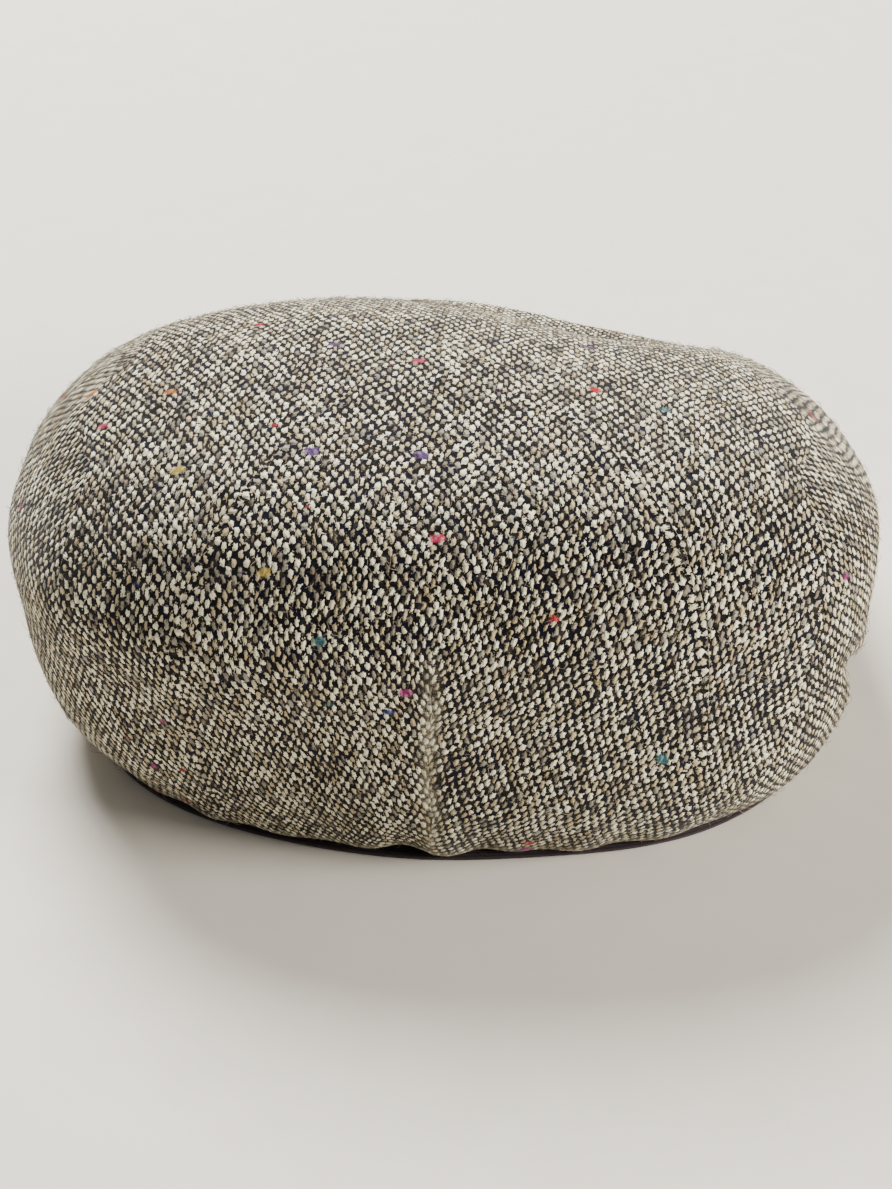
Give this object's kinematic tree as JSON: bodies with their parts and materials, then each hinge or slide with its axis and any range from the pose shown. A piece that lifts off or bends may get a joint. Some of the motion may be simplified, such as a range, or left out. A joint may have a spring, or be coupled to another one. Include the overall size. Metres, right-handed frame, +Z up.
{
  "type": "tweed flat cap",
  "caption": "Flat cap lying on its rim: wide slumped tweed crown with side panels, stiff covered peak at the front, dark sweatband and satin lining inside.",
  "frame": {"origin": "middle of the bounding box at the level of the surface the cap lies on", "axes": "+Z up, +Y towards the peak (the wearer's forward), +X towards the wearer's right"},
  "size_m": [0.2378, 0.266, 0.11],
  "materials": {
    "tweed": "cream and navy plain-weave wool tweed with coloured neps",
    "peak_board": "moulded sheet",
    "canvas": "fused cotton canvas",
    "tape": "woven cotton tape",
    "sweatband": "ribbed dark cotton band",
    "elastic": "knitted elastic",
    "label": "plain satin-woven tape",
    "lining": "satin"
  },
  "bodies": {
    "root": {"crown_centre_panel": "tweed", "crown_side_panel_right": "tweed", "crown_side_panel_left": "tweed", "peak_top_cover": "tweed", "peak_under_cover": "tweed", "peak_board": "peak_board", "crown_front_interlining": "canvas", "crown_back_seam_tape": "tape", "crown_side_seam_tape_right": "tape", "crown_side_seam_tape_left": "tape", "head_size_tape": "tape", "sweatband": "sweatband", "sweatband_back_elastic": "elastic", "size_tab_blank": "label", "lining_tip": "lining", "lining_side_right": "lining", "lining_side_left": "lining", "lining_label_blank": "label"}
  },
  "joints": []
}
